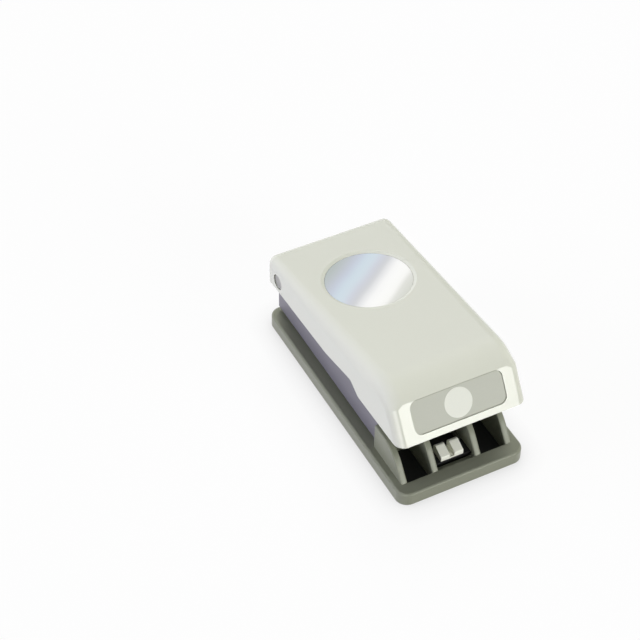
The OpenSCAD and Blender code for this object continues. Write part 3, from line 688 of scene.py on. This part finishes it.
class PUNCH_OT_label(bpy.types.Operator):
    """Cuts the label's film and its round spot"""

    bl_idname = "punch.label"
    bl_label = "Label"

    def execute(self, context):
        s = sizes()
        place = lever_place() @ label_place()
        # The film lies low in its recess, so the gap above it shows and the one below doesn't
        side_gap = 0.1 * MM
        mean_gap = 0.18 * MM
        sink = 0.12 * MM
        face = round_rect(s.label_w - 2 * side_gap, s.label_h - 2 * mean_gap, s.label_r - side_gap)
        film = thicken(face, s.label_t)
        film.transform(place @ Matrix.Translation((0, -sink, -s.label_deep)))
        dress(solid(soften(film, 0.15 * MM), "label_film"), "label_plate")
        on_film = place @ Matrix.Translation((0, 0, s.label_t - s.label_deep))
        spot = disc(s.spot_d / 2, s.spot_t, on_film)
        dress(solid(soften(spot, 0.08 * MM), "label_round"), "label_spot")
        return {"FINISHED"}


class PUNCH_OT_base(bpy.types.Operator):
    """Finishes the base moulding and the bottom plate"""

    bl_idname = "punch.base"
    bl_label = "Base"

    def execute(self, context):
        moulding = merged("base")
        # The ribs' long edges are softer than the rest
        soften(moulding, 0.9 * MM, sizes().base_h + 0.5 * MM, 4)
        dress(solid(soften(moulding, 0.4 * MM), "base_moulding"), "base")
        dress_copy("bottom_plate", "bottom_cover", 0.3)
        return {"FINISHED"}


class PUNCH_OT_frame(bpy.types.Operator):
    """Finishes the frame casting and the hinge in its lugs"""

    bl_idname = "punch.frame"
    bl_label = "Frame and hinge"

    def execute(self, context):
        dress_copy("frame", "frame_casting", 0.4)
        dress_copy("hinge_pin", "pin_rod", 0.4)
        dress_copy("hinge_spacers", "pin_spacers", 0.25)
        dress_copy("hinge_washers", "pin_washers", 0.25)
        dress_copy("pin_caps", "pin_end_caps", 0.3)
        return {"FINISHED"}


class PUNCH_OT_cutting(bpy.types.Operator):
    """Finishes the die, the cutter, its carrier and the posts that guide it"""

    bl_idname = "punch.cutting"
    bl_label = "Die and cutter"

    def execute(self, context):
        dress_copy("die_plate", "die_block", 0.12)
        dress_copy("cutter", "cutter_block", 0.1)
        dress_copy("punch_carrier", "carrier_block", 0.35)
        dress_copy("guide_posts", "post_rods", 0.2)
        dress_copy("post_clips", "post_rings", 0.1)
        return {"FINISHED"}


class PUNCH_OT_arm(bpy.types.Operator):
    """Finishes the folded arm and its presser pad"""

    bl_idname = "punch.arm"
    bl_label = "Arm"

    def execute(self, context):
        dress_copy("lever_arm", "arm_folded", 0.2)
        dress_copy("presser_pad", "pad_block", 0.3)
        return {"FINISHED"}


class PUNCH_OT_screws(bpy.types.Operator):
    """Finishes the screws"""

    bl_idname = "punch.screws"
    bl_label = "Screws"

    def execute(self, context):
        for node in ("bottom_screws", "die_screws", "frame_screws", "arm_screws", "cutter_screws"):
            dress_copy(node, node + "_plated", 0.12)
        return {"FINISHED"}


class PUNCH_OT_springs(bpy.types.Operator):
    """Winds the four return springs with closed ends"""

    bl_idname = "punch.springs"
    bl_label = "Return springs"

    def execute(self, context):
        s = sizes()
        bm = bmesh.new()
        # A closed turn rises by a little more than the wire's thickness
        lift = 1.06 * s.wire_d
        rise = s.spring_high - s.spring_low - s.wire_d
        # A closed turn at each end and five open turns between them
        runs = [(1, lift), (5, rise - 2 * lift), (1, lift)]
        steps = 32
        for x in (-s.post_off, s.post_off):
            for y in (s.cut_y - s.post_off, s.cut_y + s.post_off):
                start = Matrix.Translation((x + s.coil_r, y, s.spring_low + s.wire_d / 2))
                ring = bmesh.ops.create_circle(bm, segments=12, radius=s.wire_d / 2,
                                               matrix=start @ UPRIGHT)["verts"]
                first = list({edge for vert in ring for edge in vert.link_edges})
                end = ring + first
                for turns, height in runs:
                    step = Vector((0, 0, height / (turns * steps)))
                    spun = bmesh.ops.spin(bm, geom=end, cent=(x, y, 0), axis=(0, 0, 1), dvec=step,
                                          angle=2 * math.pi * turns, steps=turns * steps,
                                          use_merge=False)
                    end = spun["geom_last"]
                bmesh.ops.contextual_create(bm, geom=first)
                bmesh.ops.contextual_create(bm, geom=edges_of(end))
        bmesh.ops.recalc_face_normals(bm, faces=bm.faces[:])
        coils = solid(bm, "spring_coils")
        dress(coils, "return_springs")
        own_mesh(coils)
        return {"FINISHED"}


class PUNCH_OT_lock(bpy.types.Operator):
    """Finishes the lock's slider and its two-lobed grip"""

    bl_idname = "punch.lock"
    bl_label = "Lock"

    def execute(self, context):
        dress_copy("lock_slider", "lock_slide_plate", 0.2)
        dress_copy("lock_button", "lock_grip", 0.5)
        return {"FINISHED"}


class PUNCH_OT_stage(bpy.types.Operator):
    """Sets the floor, the light and the camera"""

    bl_idname = "punch.stage"
    bl_label = "Stage"

    def execute(self, context):
        scene = context.scene
        scene.view_settings.view_transform = "Standard"
        self.lay_floor()
        self.light_world(scene)
        # Direction that the light comes from, its strength, where 1 lights a facing surface fully,
        # its width in degrees and its tint. These stand for wide walls and a ceiling, so they leave
        # no highlights.
        self.lamp("front_light", (0.3, -0.92, 0.22), 0.81, 30, (1, 1, 1)).visible_glossy = False
        self.lamp("top_light", (0.3, 0.6, 0.75), 0.61, 35, (1, 1, 0.97)).visible_glossy = False
        self.lamp("left_fill", (-0.9, 0.36, 0.24), 0.94, 45, (0.97, 0.96, 1.14)).visible_glossy = False
        # Small lamps in front show only as gloss, on the sloped front and on its left edge
        self.lamp("front_sheen", (0.335, -0.906, 0.258), 0.21, 20, (1, 1, 1)).visible_diffuse = False
        self.lamp("edge_sheen", (-0.61, -0.76, 0.17), 0.32, 32, (1, 1, 1)).visible_diffuse = False
        self.aim_camera(scene)
        return {"FINISHED"}

    def lay_floor(self):
        """A wide plain floor below the part."""
        bm = bmesh.new()
        # Just below the part, so that the two faces don't fight
        just_below = Matrix.Translation((0, 0, -0.3 * MM))
        bmesh.ops.create_grid(bm, x_segments=1, y_segments=1, size=4, matrix=just_below)
        floor = solid(bm, "floor")
        material, tree, shader, _ = start_material("matt_white_floor")
        shader.inputs["Base Color"].default_value = (*finishes().floor, 1)
        shader.inputs["Roughness"].default_value = 0.9
        shader.inputs["Specular IOR Level"].default_value = 0.1
        # To the camera and in reflections the floor is nearly white, and keeps a part of its shadows,
        # most of it within some 15 mm of the part, where its glow is darkened as painted shadow
        seen = self.seen_directly(tree)
        # Painted shadow: the floor's glow grows darker where the part is close
        near = add(tree, "ShaderNodeAmbientOcclusion", {"samples": 8}, Distance=15 * MM)
        painted_shadow_glow = add(tree, "ShaderNodeMapRange", Value=near.outputs["AO"], From_Min=0.4,
                        From_Max=1.0, To_Min=0.83, To_Max=1.08)
        glow = add(tree, "ShaderNodeEmission", Color=(1, 1, 1, 1), Strength=painted_shadow_glow.outputs["Result"])
        part = add(tree, "ShaderNodeMath", {"operation": "MULTIPLY"}, _0=seen, _1=0.86)
        blend = add(tree, "ShaderNodeMixShader", _0=part.outputs["Value"], _1=shader.outputs["BSDF"],
                    _2=glow.outputs["Emission"])
        tree.links.new(blend.outputs["Shader"], tree.nodes["Material Output"].inputs["Surface"])
        floor.data.materials.append(material)

    def seen_directly(self, tree):
        """1 for what the camera sees, also in a mirror or through glass, and 0 for other light."""
        path = add(tree, "ShaderNodeLightPath")
        either = add(tree, "ShaderNodeMath", {"operation": "MAXIMUM"}, _0=path.outputs["Is Camera Ray"],
                     _1=path.outputs["Is Glossy Ray"])
        any_of = add(tree, "ShaderNodeMath", {"operation": "MAXIMUM"}, _0=either.outputs["Value"],
                     _1=path.outputs["Is Transmission Ray"])
        return any_of.outputs["Value"]

    def light_world(self, scene):
        """A room that is white to the camera and in reflections, and lights the part softly."""
        world = bpy.data.worlds.new("white_room")
        world.use_nodes = True
        tree = world.node_tree
        tree.nodes.clear()
        tone = add(tree, "ShaderNodeMix", {"data_type": "RGBA"}, Factor=self.seen_directly(tree),
                   _6=(0.17, 0.17, 0.18, 1), _7=(1, 1, 1, 1))
        sky = add(tree, "ShaderNodeBackground", Color=tone.outputs[2], Strength=1.0)
        add(tree, "ShaderNodeOutputWorld", Surface=sky.outputs["Background"])
        scene.world = world

    def lamp(self, name, source, strength, width, tint):
        """A lamp as far away as the sun, which is returned."""
        light = bpy.data.lights.new(name, "SUN")
        light.color = tint
        light.energy = strength * math.pi
        light.angle = math.radians(width)
        lamp = bpy.data.objects.new(name, light)
        lamp.rotation_euler = Vector(source).to_track_quat("Z", "Y").to_euler()
        bpy.context.scene.collection.objects.link(lamp)
        return lamp

    def aim_camera(self, scene):
        """The camera, whose lens and place were fitted to the photograph."""
        data = bpy.data.cameras.new("photo_view")
        data.sensor_width = 36
        data.lens = 105.9
        camera = bpy.data.objects.new("photo_view", data)
        place = Vector((-0.3847, -0.6335, 0.7802))
        target = Vector((-0.0259, 0.0399, 0.03))
        aim = (target - place).to_track_quat("-Z", "Y").to_matrix().to_4x4()
        # The photograph is rolled by a little under a degree
        roll = Matrix.Rotation(math.radians(0.9), 4, "Z")
        camera.matrix_world = Matrix.Translation(place) @ aim @ roll
        scene.collection.objects.link(camera)
        scene.camera = camera


OPERATORS = (
    PUNCH_OT_stage,
    PUNCH_OT_base,
    PUNCH_OT_frame,
    PUNCH_OT_cutting,
    PUNCH_OT_springs,
    PUNCH_OT_arm,
    PUNCH_OT_screws,
    PUNCH_OT_lock,
    PUNCH_OT_lever_cover,
    PUNCH_OT_mirror,
    PUNCH_OT_label,
)


class PUNCH_PT_panel(bpy.types.Panel):
    """Lists the pieces, their sizes and their colours"""

    bl_idname = "PUNCH_PT_panel"
    bl_label = "Circle punch"
    bl_space_type = "VIEW_3D"
    bl_region_type = "UI"
    bl_category = "Punch"

    def draw(self, context):
        pieces = self.layout.column(align=True)
        for operator in OPERATORS:
            pieces.operator(operator.bl_idname)
        for group in (context.scene.punch_sizes, context.scene.punch_finishes):
            column = self.layout.column(align=True)
            for name in group.bl_rna.properties.keys():
                if name not in {"rna_type", "name"}:
                    column.prop(group, name)


CLASSES = (PunchSizes, PunchFinishes, *OPERATORS, PUNCH_PT_panel)


def register():
    """Registers the classes and gives each scene its sizes and colours."""
    for cls in CLASSES:
        bpy.utils.register_class(cls)
    bpy.types.Scene.punch_sizes = PointerProperty(type=PunchSizes)
    bpy.types.Scene.punch_finishes = PointerProperty(type=PunchFinishes)


def unregister():
    """Takes the sizes, the colours and the classes away again."""
    del bpy.types.Scene.punch_finishes
    del bpy.types.Scene.punch_sizes
    for cls in reversed(CLASSES):
        bpy.utils.unregister_class(cls)


def main():
    """Dresses the whole punch."""
    register()
    for operator in OPERATORS:
        group, name = operator.bl_idname.split(".")
        getattr(getattr(bpy.ops, group), name)()


if __name__ == "__main__":
    main()
